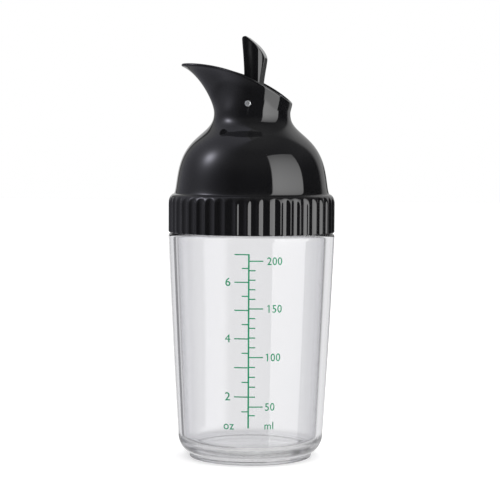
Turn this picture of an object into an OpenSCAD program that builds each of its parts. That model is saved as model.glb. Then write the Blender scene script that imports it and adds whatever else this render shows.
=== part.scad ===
// Drink shaker cup: a clear bottle, a screw-on lid with a beak spout, and a flip lever with its stopper.
// Millimetres. Z is up, the origin is the centre of the foot, and the spout points towards minus X.

/* [Bottle body] */
// Radius of the body at its shoulder, flush with the collar of the lid
body_r = 33.65; // [31:0.05:37]
// Radius of the body at the top of its rounded heel
heel_top_r = 29.4; // [25:0.1:30.5]
// Height of the body up to its shoulder
body_h = 91; // [70:1:120]
// Outward bow of the side over a straight taper
body_bow = 0.25; // [0:0.05:0.5]
// Thickness of the wall just above the floor
bottle_wall = 2.9; // [2:0.05:3.2]
// Height of the floor above the rest plane
floor_z = 6.5; // [5.5:0.1:9]
// Radius of the inner corner between the floor and the wall
floor_corner_r = 3.2; // [2:0.1:5]
// Radius of the rounded outer edge of the shoulder
shoulder_edge_r = 1.2; // [0.6:0.1:1.8]

/* [Bottle foot] */
// Radius of the rounded heel
heel_r = 8.5; // [7:0.1:9]
// Height of the lowest point of the heel's circle above the rest plane
heel_lift = 0.8; // [0.4:0.1:1.2]
// Angle through which the heel sweeps from the foot ring up to the side, in degrees
heel_sweep = 59; // [50:1:72]
// Outer radius of the foot ring
foot_r = 24.85; // [23:0.05:25.4]
// Step from the foot ring out to the heel
foot_step = 0.4; // [0.2:0.1:0.6]
// Width of the face that the cup stands on
foot_face_w = 2; // [1.5:0.1:3]
// Radius of the foot ring's edges
foot_edge_r = 0.7; // [0.2:0.1:0.8]
// Height of the recess under the floor at its middle
punt_h = 2.7; // [2:0.1:3.2]

/* [Bottle neck] */
// Distance from the body's shoulder radius in to the neck
neck_inset = 2.5; // [2.2:0.1:3.8]
// Wall of the neck
neck_wall = 1.25; // [1:0.05:2.4]
// Height of the neck above the shoulder
neck_h = 10.5; // [8:0.5:14]
// Radius of the rounded rim and of the fillet at the neck's root
neck_edge_r = 0.5; // [0.3:0.1:0.8]

/* [Lid collar] */
// Gap between the bottle's shoulder and the collar
collar_gap = 0.3; // [0.2:0.1:0.8]
// Radius of the collar's bottom edge
collar_edge_r = 0.5; // [0.3:0.1:0.6]
// Radial room for the screw thread between the neck and the collar
thread_room = 0.85; // [0.6:0.05:1.5]
// Number of flutes round the collar
flute_count = 48; // [36:1:56]
// Depth of a flute
flute_depth = 0.7; // [0.4:0.05:0.8]
// Radius of a flute's hollow
flute_r = 3; // [2.8:0.1:4]
// Height of the collar's rounded shoulder
collar_shoulder_h = 4; // [3:0.1:5]
// Distance from the collar's face in to the foot of the dome
dome_inset = 2.25; // [1.6:0.05:2.6]
// Height of the dome's foot above the sealing ledge
ledge_t = 3.8; // [3.2:0.1:5]

/* [Lid dome] */
// Height of the dome from its foot to the deck that carries the pour hole
dome_h = 32.7; // [28:0.1:38]
// Radius of the neck on top of the dome
waist_r = 15.45; // [14:0.05:17]
// Thickness of the dome's wall
lid_wall = 2.8; // [2.4:0.1:3.2]
// Thickness of the deck
deck_t = 2; // [1.6:0.1:2.6]
// Radius of the pour hole
pour_r = 4; // [3.2:0.1:4.4]

/* [Spout] */
// Distance from the cup's axis to the tip of the beak
spout_reach = 28.9; // [25:0.1:31]
// Height of the rim's crest above the deck
spout_h = 19.8; // [16:0.1:23]
// Distance from the tip back to the crest of the rim
crest_back = 1.5; // [1:0.1:6]
// Height of the rim's low rear end above the deck
rear_lip_h = 4.3; // [2:0.1:6]
// Radius of the rim beside and behind the lever
rim_r = 16.2; // [15.6:0.05:17.5]
// Wall of the spout where it leaves the deck
spout_wall = 1.85; // [1.6:0.05:2.2]
// Radius of the rounded lip
lip_r = 0.65; // [0.5:0.05:0.8]
// Slope of the wall at the beak's tip in degrees from level
beak_slope = 23; // [18:1:45]
// Slope of the wall at the rim beside and behind the lever in degrees from level
side_slope = 84; // [80:1:88]
// Sharpness of the beak seen from above
beak_power = 8; // [6:1:10]

/* [Lever] */
// Radius of the barrel that turns on the pin
barrel_r = 3.2; // [2.6:0.1:3.4]
// Gap between the barrel and the lid
barrel_gap = 0.3; // [0.2:0.05:0.5]
// Height of the lever above the pin
lever_h = 27; // [22:0.5:32]
// Width of the lever
lever_w = 17; // [14:0.5:19]
// Distance from the pin forward to the lever's front face
lever_front = 2.4; // [2:0.1:2.8]
// Distance from the pin forward to the lever's brow
brow_front = 3.5; // [2.6:0.1:4]
// Distance from the pin back to the rear edge of the thumb pad
pad_back = 5.7; // [5:0.1:7]
// Drop of the thumb pad from the brow to its rear edge
pad_drop = 9.5; // [7:0.5:11]
// Radius of the lever's rear corners seen from above
lever_back_r = 4; // [3:0.1:4.4]
// Radius of the lever's front corners seen from above
lever_front_r = 1.5; // [0.8:0.1:2]
// Thickness of the foot that carries the stopper
foot_t = 2.6; // [2:0.1:3]

/* [Stopper and pin] */
// Width of the stopper's seat round the pour hole
seat_w = 0.8; // [0.6:0.1:1]
// Thickness of the stopper's flange
flange_t = 1.65; // [1.3:0.05:1.8]
// Length of the nose that enters the pour hole
nose_h = 1.25; // [0.8:0.05:1.5]
// Radius of the stud that the stopper is pushed on
stud_r = 1.6; // [1.2:0.1:2]
// Radius of the hinge pin
pin_r = 1.3; // [1:0.05:1.5]
// Radial running clearance of the lever on the pin
pin_run = 0.06; // [0.03:0.01:0.1]

/* [Gasket] */
// Thickness of the gasket between the bottle's rim and the lid
gasket_t = 1.5; // [1:0.1:2]
// Clearance round the gasket in its seat
gasket_gap = 0.1; // [0.05:0.05:0.2]

/* [Hidden] */
$fn = 96;

// Overrun of every cut past the face that it opens
over = 1;
// Small clearances that the pieces of the spout share
seat_gap = 0.05;
pin_seat_gap = 0.02;
stud_gap = 0.05;
// Step between the turned neck and the lofted spout, and the depth that the loft goes into the deck
loft_step = 0.03;
loft_depth = 1.2;

// Places along the axis, from the rest plane up
neck_r = body_r - neck_inset;
neck_bore_r = neck_r - neck_wall;
mouth_z = body_h + neck_h;
ledge_z = mouth_z + gasket_t;
dome_z = ledge_z + ledge_t;
deck_z = dome_z + dome_h;
pin_z = deck_z + barrel_gap + barrel_r;
skirt_r = neck_r + thread_room;
dome_r = body_r - dome_inset;
channel_r = waist_r - spout_wall;

// Places round the pour hole
stopper_r = pour_r + seat_w;
flange_z = deck_z + seat_gap + flange_t;
barrel_front = sqrt(pow(barrel_r, 2) - pow(pin_z - flange_z, 2));
pour_x = -(stopper_r + barrel_front + barrel_gap / 2);

// Colours
clear_tint = [0.82, 0.86, 0.92, 0.35];
gloss_black = [0.03, 0.03, 0.035];
seal_grey = [0.75, 0.76, 0.78];
pin_steel = [0.78, 0.79, 0.8];

// Numbers of steps along the curves
curve_steps = 24;
corner_steps = 6;
meridians = 96;
wall_rows = 10;
lip_rows = 4;

// A point on the Bezier curve of any list of control points
function on_bezier(points, t) =
    len(points) == 1 ? points[0]
    : on_bezier([for (i = [0 : len(points) - 2]) points[i] * (1 - t) + points[i + 1] * t], t);
function bezier(points, steps) = [for (i = [0 : steps]) on_bezier(points, i / steps)];

// The direction of that curve, and its points moved square to it to the left
function bezier_way(points, t) =
    on_bezier([for (i = [0 : len(points) - 2]) points[i + 1] - points[i]], t);
function unit(v) = v / norm(v);
function left_of(v) = [-v[1], v[0]];
function bezier_beside(points, gap, steps) =
    [for (i = [0 : steps]) on_bezier(points, i / steps) + gap * left_of(unit(bezier_way(points, i / steps)))];

// Points on an ellipse's arc from one angle to the other
function arc(centre, rx, ry, a0, a1, steps) =
    [for (i = [0 : steps]) let (a = a0 + (a1 - a0) * i / steps) centre + [rx * cos(a), ry * sin(a)]];
function reversed(list) = [for (i = [len(list) - 1 : -1 : 0]) list[i]];

// The side of the bottle: a bowed taper between the top of the heel and the shoulder's edge
heel_z = heel_lift + heel_r;
side_top_z = body_h - shoulder_edge_r;
function side_r(z) = let (s = (z - heel_z) / (side_top_z - heel_z))
    heel_top_r + (body_r - heel_top_r) * s + 4 * body_bow * s * (1 - s);
side_zs = [for (i = [1 : curve_steps / 2 - 1]) heel_z + (side_top_z - heel_z) * i / (curve_steps / 2)];

// The inside tapers evenly from the floor's corner up to the bore of the neck
corner_z = floor_z + floor_corner_r;
function inside_r(z) = let (low_r = side_r(corner_z) - bottle_wall)
    low_r + (neck_bore_r - low_r) * (z - corner_z) / (body_h - corner_z);

// The heel is an ellipse's arc that reaches in from the side as far as the foot ring's step, wherever that is
foot_top_z = heel_z - heel_r * sin(heel_sweep);
heel_rx = (heel_top_r - foot_r - foot_step) / (1 - cos(heel_sweep));
foot_inner_r = foot_r - 2 * foot_edge_r - foot_face_w;

module bottle() {
    outside = concat(
        arc([foot_inner_r + foot_edge_r, foot_edge_r], foot_edge_r, foot_edge_r, 180, 270, corner_steps),
        arc([foot_r - foot_edge_r, foot_edge_r], foot_edge_r, foot_edge_r, 270, 360, corner_steps),
        [[foot_r, foot_top_z]],
        arc([heel_top_r - heel_rx, heel_z], heel_rx, heel_r, -heel_sweep, 0, 2 * corner_steps),
        [for (z = side_zs) [side_r(z), z]],
        arc([body_r - shoulder_edge_r, side_top_z], shoulder_edge_r, shoulder_edge_r, 0, 90, corner_steps),
        arc([neck_r + neck_edge_r, body_h + neck_edge_r], neck_edge_r, neck_edge_r, 270, 180, corner_steps),
        arc([neck_r - neck_edge_r, mouth_z - neck_edge_r], neck_edge_r, neck_edge_r, 0, 90, corner_steps));
    inside = concat(
        [[neck_bore_r, mouth_z], [neck_bore_r, body_h]],
        arc([inside_r(corner_z) - floor_corner_r, corner_z],
            floor_corner_r, floor_corner_r, 0, -90, corner_steps),
        [[0, floor_z], [0, punt_h]],
        bezier([[0, punt_h], [foot_inner_r / 2, punt_h],
                [foot_inner_r, foot_top_z], [foot_inner_r, foot_edge_r]], corner_steps));
    color(clear_tint)
        rotate_extrude() polygon(concat(outside, inside));
}

// The dome's outline: shares of the way in from its foot to the neck, and of its height
dome_shares = [[0, 0], [0.14, 0.17], [-0.05, 0.76], [1, 0.665], [1, 0.985]];
dome_points = [for (s = dome_shares) [dome_r + (waist_r - dome_r) * s[0], dome_z + dome_h * s[1]]];
dome_inner = [for (p = bezier_beside(dome_points, lid_wall, curve_steps)) if (p[1] < deck_z - deck_t) p];
lid_bore_r = dome_inner[0][0];
collar_z = body_h + collar_gap;

// The collar, dome, neck and deck as one turned shape
module lid_body() {
    rotate_extrude() polygon(concat(
        [[skirt_r, collar_z]],
        arc([body_r - collar_edge_r, collar_z + collar_edge_r], collar_edge_r, collar_edge_r,
            270, 360, corner_steps),
        arc([dome_r, dome_z - collar_shoulder_h], dome_inset, collar_shoulder_h, 0, 90, 2 * corner_steps),
        bezier(dome_points, curve_steps),
        [[waist_r, deck_z], [0, deck_z], [0, deck_z - deck_t]],
        [[dome_inner[len(dome_inner) - 1][0], deck_z - deck_t]],
        reversed(dome_inner),
        [[lid_bore_r, ledge_z], [skirt_r, ledge_z]]));
}

// The hollows of the flutes, which run out on the collar's rounded shoulder
module flutes() {
    for (i = [0 : flute_count - 1])
        rotate(360 * i / flute_count)
            translate([body_r - flute_depth + flute_r, 0, collar_z - over])
                cylinder(r = flute_r, h = dome_z - collar_z + 2 * over);
}

// How far the direction at an angle belongs to the beak: nothing beside and behind the lever, one at the tip
function beak_share(a) = pow(max(0, -cos(a)), beak_power);
function mixed(side, front, share) = side + (front - side) * share;

// The rim follows one arc, seen from the side, from the crest down to the low rear end
crest_x = crest_back - spout_reach;
rim_run = rim_r - lip_r - crest_x;
rim_drop = spout_h - rear_lip_h;
rim_arc_r = (pow(rim_run, 2) + pow(rim_drop, 2)) / (2 * rim_drop);
function rim_z(x) = deck_z + spout_h - rim_arc_r + sqrt(pow(rim_arc_r, 2) - pow(x - crest_x, 2));

// The lip's centre, and the wall's direction there, in the upright plane at an angle
function lip_centre(a) = let (r = mixed(rim_r, spout_reach, beak_share(a)) - lip_r)
    [r, rim_z(r * cos(a)) - lip_r];
function lip_slope(a) = mixed(side_slope, beak_slope, pow((1 - cos(a)) / 2, 3));

// One wall line from the deck to the lip: upright at the deck, sloping at the lip
rise_shares = [0.2, 0.43];
function wall_line(base_r, a, side) = let (
    slope = lip_slope(a),
    centre = lip_centre(a),
    top = centre + side * lip_r * [sin(slope), -cos(slope)],
    rise = top[1] - deck_z)
    [[base_r, deck_z], [base_r, deck_z + rise_shares[0] * rise],
     top - rise_shares[1] * rise * [cos(slope), sin(slope)], top];

// The closed section of the spout's wall at an angle, from inside the deck, up, over the lip and down
function wall_section(a) = let (
    slope = lip_slope(a),
    outer_r = waist_r - loft_step,
    inner_r = channel_r + loft_step)
    concat([[outer_r, deck_z - loft_depth]],
           bezier(wall_line(outer_r, a, 1), wall_rows),
           [for (i = [1 : lip_rows - 1])
               lip_centre(a) + lip_r * [cos(slope - 90 + 180 * i / lip_rows), sin(slope - 90 + 180 * i / lip_rows)]],
           reversed(bezier(wall_line(inner_r, a, -1), wall_rows)),
           [[inner_r, deck_z - loft_depth]]);

// Angles of the sections, closer together at the beak's tip
tip_crowding_share = 0.45;
function meridian_angle(i) = let (s = 2 * i / meridians - 1)
    180 + 180 * (s * (1 - tip_crowding_share) + pow(s, 3) * tip_crowding_share);

module spout_wall_loft() {
    sections = [for (i = [0 : meridians - 1]) wall_section(meridian_angle(i))];
    rows = len(sections[0]);
    points = [for (i = [0 : meridians - 1]) for (p = sections[i])
        [p[0] * cos(meridian_angle(i)), p[0] * sin(meridian_angle(i)), p[1]]];
    faces = [for (i = [0 : meridians - 1]) for (j = [0 : rows - 1]) let (
        a = i * rows + j,
        b = i * rows + (j + 1) % rows,
        c = ((i + 1) % meridians) * rows + (j + 1) % rows,
        d = ((i + 1) % meridians) * rows + j)
        each [[a, b, c], [a, c, d]]];
    polyhedron(points = points, faces = faces);
}

module along_pin(r, half) {
    translate([0, half, pin_z]) rotate([90, 0, 0]) cylinder(r = r, h = 2 * half);
}

module lid_shell() {
    color(gloss_black)
        difference() {
            union() {
                difference() {
                    lid_body();
                    flutes();
                }
                spout_wall_loft();
            }
            translate([pour_x, 0, deck_z - deck_t - over]) cylinder(r = pour_r, h = deck_t + 2 * over);
            along_pin(pin_r + pin_seat_gap, rim_r + over);
        }
}

module lid_gasket() {
    color(seal_grey)
        translate([0, 0, mouth_z])
            difference() {
                cylinder(r = skirt_r - gasket_gap, h = gasket_t);
                translate([0, 0, -over]) cylinder(r = lid_bore_r + gasket_gap, h = gasket_t + 2 * over);
            }
}

// The lever seen from above: square shoulders in front, large corners behind
module lever_plan() {
    half = lever_w / 2;
    front = -brow_front;
    for (side = [-1, 1]) {
        translate([front + lever_front_r, side * (half - lever_front_r)]) circle(r = lever_front_r);
        translate([pad_back - lever_back_r, side * (half - lever_back_r)]) circle(r = lever_back_r);
    }
    translate([front, lever_front_r - half]) square([lever_front_r, lever_w - 2 * lever_front_r]);
    translate([front + lever_front_r, -half]) square([pad_back - lever_back_r - front - lever_front_r, lever_w]);
    translate([pad_back - lever_back_r, lever_back_r - half]) square([lever_back_r, lever_w - 2 * lever_back_r]);
}

// The lever seen from the side, about the pin: hollow front, brow, slanting thumb pad and rear face
module lever_side() {
    brow_z = lever_h - lever_front / 2;
    pad_z = lever_h - pad_drop;
    polygon(concat(
        [[barrel_r, 0], [-lever_front, 0]],
        bezier([[-lever_front, 0], [lever_front / 8 - lever_front, lever_h / 3],
                [-lever_front, lever_h * 2 / 3], [-brow_front, brow_z]], curve_steps / 2),
        bezier([[-brow_front, brow_z], [-brow_front, lever_h], [-brow_front / 2, lever_h]], corner_steps),
        bezier([[-brow_front / 2, lever_h], [pad_back / 4, lever_h - pad_drop / 4],
                [pad_back * 3 / 4, pad_z + pad_drop / 2], [pad_back, pad_z + pad_drop / 10]], curve_steps / 2),
        bezier([[pad_back, pad_z + pad_drop / 10], [pad_back, pad_z - pad_drop / 10],
                [pad_back * 2 / 3, pad_z - pad_drop / 2], [barrel_r, 0]], curve_steps / 2)));
}

module lever() {
    foot_half = stopper_r;
    color(gloss_black) {
        difference() {
            union() {
                intersection() {
                    translate([0, lever_w / 2, pin_z]) rotate([90, 0, 0])
                        linear_extrude(lever_w) lever_side();
                    translate([0, 0, pin_z]) linear_extrude(lever_h + over) lever_plan();
                }
                along_pin(barrel_r, sqrt(pow(channel_r, 2) - pow(barrel_r, 2)) - barrel_gap);
                translate([pour_x, 0, flange_z]) cylinder(r = foot_half, h = foot_t);
                translate([pour_x, -foot_half, flange_z]) cube([-pour_x, 2 * foot_half, foot_t]);
                translate([pour_x, 0, flange_z - flange_t + seat_w])
                    cylinder(r = stud_r, h = flange_t);
            }
            along_pin(pin_r + pin_run, channel_r);
        }
    }
}

module stopper() {
    nose_r = pour_r - seat_gap;
    stud_z = flange_z - flange_t + seat_w - stud_gap;
    color(seal_grey)
        translate([pour_x, 0, 0])
            difference() {
                union() {
                    translate([0, 0, flange_z - flange_t]) cylinder(r = stopper_r, h = flange_t);
                    translate([0, 0, flange_z - flange_t - nose_h])
                        cylinder(r1 = nose_r - nose_h * tan(30), r2 = nose_r, h = nose_h);
                }
                translate([0, 0, stud_z]) cylinder(r = stud_r + stud_gap, h = flange_t);
            }
}

module hinge_pin() {
    color(pin_steel)
        along_pin(pin_r, waist_r - seat_gap);
}

bottle();
lid_shell();
lid_gasket();
lever();
stopper();
hinge_pin();
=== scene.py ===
from math import cos, hypot, pi, radians, sin, sqrt

import bmesh
import bpy
from mathutils import Matrix, Vector


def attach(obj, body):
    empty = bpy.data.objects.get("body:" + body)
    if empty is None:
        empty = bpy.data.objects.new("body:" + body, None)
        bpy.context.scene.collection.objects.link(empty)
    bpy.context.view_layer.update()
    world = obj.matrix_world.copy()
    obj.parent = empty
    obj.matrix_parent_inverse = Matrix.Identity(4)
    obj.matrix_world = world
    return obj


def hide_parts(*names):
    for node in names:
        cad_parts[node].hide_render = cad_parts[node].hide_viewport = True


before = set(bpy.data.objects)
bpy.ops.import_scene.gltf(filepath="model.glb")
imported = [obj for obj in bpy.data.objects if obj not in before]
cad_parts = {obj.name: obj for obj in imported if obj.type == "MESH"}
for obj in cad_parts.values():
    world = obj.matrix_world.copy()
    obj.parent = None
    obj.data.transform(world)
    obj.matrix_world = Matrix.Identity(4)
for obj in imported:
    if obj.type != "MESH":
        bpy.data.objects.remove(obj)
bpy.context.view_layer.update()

# A drink shaker cup: clear bottle with a printed scale, gloss black lid with a beak spout, flip lever.
# Lengths are in millimetres until a mesh is made, and MM turns them into metres.
MM = 0.001

# Sizes, as in the part's own source

BODY_R, HEEL_TOP_R, BODY_H, BODY_BOW = 33.65, 29.4, 91.0, 0.25
BOTTLE_WALL, FLOOR_Z, FLOOR_CORNER_R, SHOULDER_EDGE_R = 2.9, 6.5, 3.2, 1.2
HEEL_R, HEEL_LIFT, HEEL_SWEEP, FOOT_R, FOOT_STEP = 8.5, 0.8, 59.0, 24.85, 0.4
FOOT_FACE_W, FOOT_EDGE_R, PUNT_H = 2.0, 0.7, 2.7
NECK_R, NECK_BORE_R, NECK_H, NECK_EDGE_R = 31.15, 29.9, 10.5, 0.5
MOUTH_Z = BODY_H + NECK_H
HEEL_Z = HEEL_LIFT + HEEL_R
SIDE_TOP_Z = BODY_H - SHOULDER_EDGE_R

COLLAR_Z, COLLAR_EDGE_R, SKIRT_R = BODY_H + 0.3, 0.5, 32.0
FLUTES, FLUTE_DEPTH, FLUTE_R, FLUTE_SOFTNESS = 48, 0.7, 3.0, 0.6
COLLAR_SHOULDER_H, DOME_INSET = 4.0, 2.25
GASKET_H, GASKET_GAP = 1.5, 0.1
LEDGE_Z = MOUTH_Z + GASKET_H
DOME_Z, DOME_H, DOME_R = LEDGE_Z + 3.8, 32.7, BODY_R - DOME_INSET
WAIST_R, LID_WALL, DECK_T, POUR_R = 15.45, 2.8, 2.0, 4.0
DECK_Z = DOME_Z + DOME_H
DOME_SHARES = ((0, 0), (0.14, 0.17), (-0.05, 0.76), (1, 0.665), (1, 0.985))

SPOUT_REACH, SPOUT_H, CREST_BACK, REAR_LIP_H = 28.9, 19.8, 1.5, 4.3
RIM_R, SPOUT_WALL, LIP_R = 16.2, 1.85, 0.65
BEAK_SLOPE, SIDE_SLOPE, BEAK_POWER, RISE_SHARES = 23.0, 84.0, 8, (0.2, 0.43)
CHANNEL_R = WAIST_R - SPOUT_WALL
CREASE_W = 0.5

THREAD_PITCH, THREAD_LEAD, THREAD_RISE = 4.0, 8.0, 0.6
THREAD_CREST_W, THREAD_ROOT_W, THREAD_RUN_OUT = 0.6, 1.7, 1.6
NECK_THREAD, SKIRT_THREAD = (BODY_H + 0.9, MOUTH_Z - 0.9), (COLLAR_Z + 1.0, LEDGE_Z - 1.2)

BARREL_R, BARREL_GAP, PIN_R, PIN_RUN, PIN_FIT = 3.2, 0.3, 1.3, 0.06, 0.02
PIN_Z = DECK_Z + BARREL_GAP + BARREL_R
LEVER_H, LEVER_W, LEVER_FRONT, BROW_FRONT = 27.0, 17.0, 2.4, 3.5
PAD_BACK, PAD_DROP, LEVER_BACK_R, LEVER_FRONT_R, FOOT_T = 5.7, 9.5, 4.0, 1.5, 2.6

SEAT_W, FLANGE_T, NOSE_H, STUD_R, SEAT_GAP = 0.8, 1.65, 1.25, 1.6, 0.05
STOPPER_R = POUR_R + SEAT_W
FLANGE_Z = DECK_Z + SEAT_GAP + FLANGE_T
POUR_X = -(STOPPER_R + sqrt(BARREL_R ** 2 - (PIN_Z - FLANGE_Z) ** 2) + BARREL_GAP / 2)


# Curves

def on_bezier(points, t):
    """The point at share t on the Bezier curve of any number of control points."""
    points = [tuple(p) for p in points]
    while len(points) > 1:
        points = [tuple(a + (b - a) * t for a, b in zip(p, q)) for p, q in zip(points, points[1:])]
    return points[0]


def bezier(points, steps):
    """The curve as a row of points, both ends among them."""
    return [on_bezier(points, i / steps) for i in range(steps + 1)]


def bezier_beside(points, gap, steps):
    """The same curve moved by a gap to its left."""
    ways = [tuple(b - a for a, b in zip(p, q)) for p, q in zip(points, points[1:])]
    made = []
    for i in range(steps + 1):
        (x, y), (u, v) = on_bezier(points, i / steps), on_bezier(ways, i / steps)
        made.append((x - v * gap / hypot(u, v), y + u * gap / hypot(u, v)))
    return made


def arc(centre, rx, ry, start, end, steps):
    """Points on an arc of a circle or an ellipse, its angles in degrees."""
    angles = [radians(start + (end - start) * i / steps) for i in range(steps + 1)]
    return [(centre[0] + rx * cos(a), centre[1] + ry * sin(a)) for a in angles]


def divided(points, longest):
    """The same outline with its long straight runs cut into shorter ones."""
    made = [points[0]]
    for p, q in zip(points, points[1:]):
        count = max(1, int(hypot(q[0] - p[0], q[1] - p[1]) / longest + 0.999))
        made += [tuple(a + (b - a) * i / count for a, b in zip(p, q)) for i in range(1, count + 1)]
    return made


def rounded(points, radius, steps=4):
    """An outline with its corners rounded, its two ends left as they are."""
    made = [points[0]]
    for before, corner, after in zip(points, points[1:], points[2:]):
        ends = []
        for other in (before, after):
            run = hypot(other[0] - corner[0], other[1] - corner[1])
            share = min(radius, run * 0.45) / run
            ends.append(tuple(c + (o - c) * share for c, o in zip(corner, other)))
        made += bezier([ends[0], corner, ends[1]], steps)
    return made + [points[-1]]


# Meshes

def skin(sections, closed):
    """Points and four-sided faces between sections that go once round, each of them closed or open."""
    count, length = len(sections), len(sections[0])
    points = [p for section in sections for p in section]
    faces = []
    for i in range(count):
        a, b = i * length, (i + 1) % count * length
        for j in range(length if closed else length - 1):
            k = (j + 1) % length
            faces.append((a + j, a + k, b + k, b + j))
    return points, faces


def turned(outline, count, centre=(0, 0)):
    """An outline of radius and height turned round an upright axis."""
    x, y = centre
    return skin([[(x + r * cos(a), y + r * sin(a), z) for r, z in outline]
                 for a in (2 * pi * i / count for i in range(count))], False)


def stacked(sections):
    """Points and faces of a closed body through a row of sections, its first and last one filled."""
    count = len(sections[0])
    points = [p for section in sections for p in section]
    faces = []
    for low in range(0, len(points) - count, count):
        faces += [(low + j, low + (j + 1) % count, low + count + (j + 1) % count, low + count + j)
                  for j in range(count)]
    return points, faces + [tuple(range(count))[::-1], tuple(range(len(points) - count, len(points)))]


def put(bm, points, faces):
    """Adds points and faces to a mesh that is being built."""
    verts = [bm.verts.new(p) for p in points]
    for face in faces:
        bm.faces.new([verts[i] for i in face])


def solid(name, *skins, sharp=40):
    """One object from one or more skins, its doubles merged and its faces turned outwards."""
    bm = bmesh.new()
    for points, faces in skins:
        put(bm, [Vector(p) * MM for p in points], faces)
    bmesh.ops.remove_doubles(bm, verts=bm.verts, dist=0.0005 * MM)
    bmesh.ops.dissolve_degenerate(bm, edges=bm.edges, dist=0.0001 * MM)
    bmesh.ops.recalc_face_normals(bm, faces=bm.faces)
    mesh = bpy.data.meshes.new(name)
    bm.to_mesh(mesh)
    bm.free()
    obj = bpy.data.objects.new(name, mesh)
    bpy.context.scene.collection.objects.link(obj)
    smooth(obj, sharp)
    return obj


def smooth(obj, sharp=40):
    """Smooth shading, with a hard edge wherever faces meet at more than an angle in degrees."""
    obj.data.shade_smooth()
    obj.data.set_sharp_from_angle(angle=radians(sharp))


def plain(obj):
    """Turns an object's modifiers into a plain mesh and removes them."""
    graph = bpy.context.evaluated_depsgraph_get()
    mesh = bpy.data.meshes.new_from_object(obj.evaluated_get(graph), depsgraph=graph)
    obj.modifiers.clear()
    obj.data = mesh


def cut(obj, *tools, operation="DIFFERENCE"):
    """Takes the tools' shapes out of an object, or adds them to it."""
    for tool in tools:
        step = obj.modifiers.new("cut", "BOOLEAN")
        step.operation, step.solver, step.object = operation, "EXACT", tool
    plain(obj)
    for tool in tools:
        bpy.data.objects.remove(tool)


# Node trees

class Nodes:
    """Adds nodes to one tree, with their inputs set or linked by name or by place."""

    def __init__(self, tree):
        self.tree = tree

    def __call__(self, kind, inputs=None, **settings):
        node = self.tree.nodes.new(kind)
        for key, value in settings.items():
            setattr(node, key, value)
        return self.feed(node, inputs or {})

    def feed(self, node, inputs):
        """Links each input that is given a socket, and sets the others."""
        for key, value in inputs.items():
            if isinstance(value, bpy.types.NodeSocket):
                self.tree.links.new(value, node.inputs[key])
            else:
                node.inputs[key].default_value = value
        return node

    def math(self, operation, *values):
        return self("ShaderNodeMath", dict(enumerate(values)), operation=operation).outputs[0]

    def times(self, first, *others):
        for other in others:
            first = self.math("MULTIPLY", first, other)
        return first

    def plus(self, first, *others):
        for other in others:
            first = self.math("ADD", first, other)
        return first

    def minus(self, first, second):
        return self.math("SUBTRACT", first, second)

    def away(self, x, y):
        """How far a point lies from an axis, from its two places across it."""
        return self.math("SQRT", self.plus(self.times(x, x), self.times(y, y)))

    def mix(self, factor, first, second):
        return self("ShaderNodeMix", {"Factor": factor, 2: first, 3: second}, data_type="FLOAT").outputs[0]

    def ranged(self, value, low, high, start=0.0, end=1.0, kind="SMOOTHSTEP"):
        return self("ShaderNodeMapRange", {0: value, 1: low, 2: high, 3: start, 4: end},
                    interpolation_type=kind).outputs[0]

    def vector(self, x, y, z):
        return self("ShaderNodeCombineXYZ", {0: x, 1: y, 2: z}).outputs[0]

    def parts(self, vector):
        return self("ShaderNodeSeparateXYZ", {0: vector}).outputs


def shape_tree(name, **sockets):
    """A Geometry Nodes tree with named inputs: the tree, its nodes, its inputs and its output node."""
    tree = bpy.data.node_groups.new(name, "GeometryNodeTree")
    tree.interface.new_socket("Geometry", in_out="INPUT", socket_type="NodeSocketGeometry")
    for label, value in sockets.items():
        kind = {int: "Int", float: "Float", type(None): "Material"}[type(value)]
        socket = tree.interface.new_socket(label.replace("_", " "), in_out="INPUT",
                                           socket_type="NodeSocket" + kind)
        if value is not None:
            socket.default_value = value
    tree.interface.new_socket("Geometry", in_out="OUTPUT", socket_type="NodeSocketGeometry")
    add = Nodes(tree)
    return tree, add, add("NodeGroupInput").outputs, add("NodeGroupOutput")


def grow(obj, tree, **values):
    """Runs a tree on an object with its inputs set by name, and leaves a plain mesh."""
    step = obj.modifiers.new(tree.name, "NODES")
    step.node_group = tree
    keys = {item.name: item.identifier for item in tree.interface.items_tree if item.in_out == "INPUT"}
    for label, value in values.items():
        step[keys[label.replace("_", " ")]] = value
    plain(obj)


def finish_tree(add, out, geometry, material):
    """Ends a tree with plain geometry in one material."""
    real = add("GeometryNodeRealizeInstances", {0: geometry}).outputs[0]
    add.feed(out, {0: add("GeometryNodeSetMaterial", {"Geometry": real, "Material": material}).outputs[0]})


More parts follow.
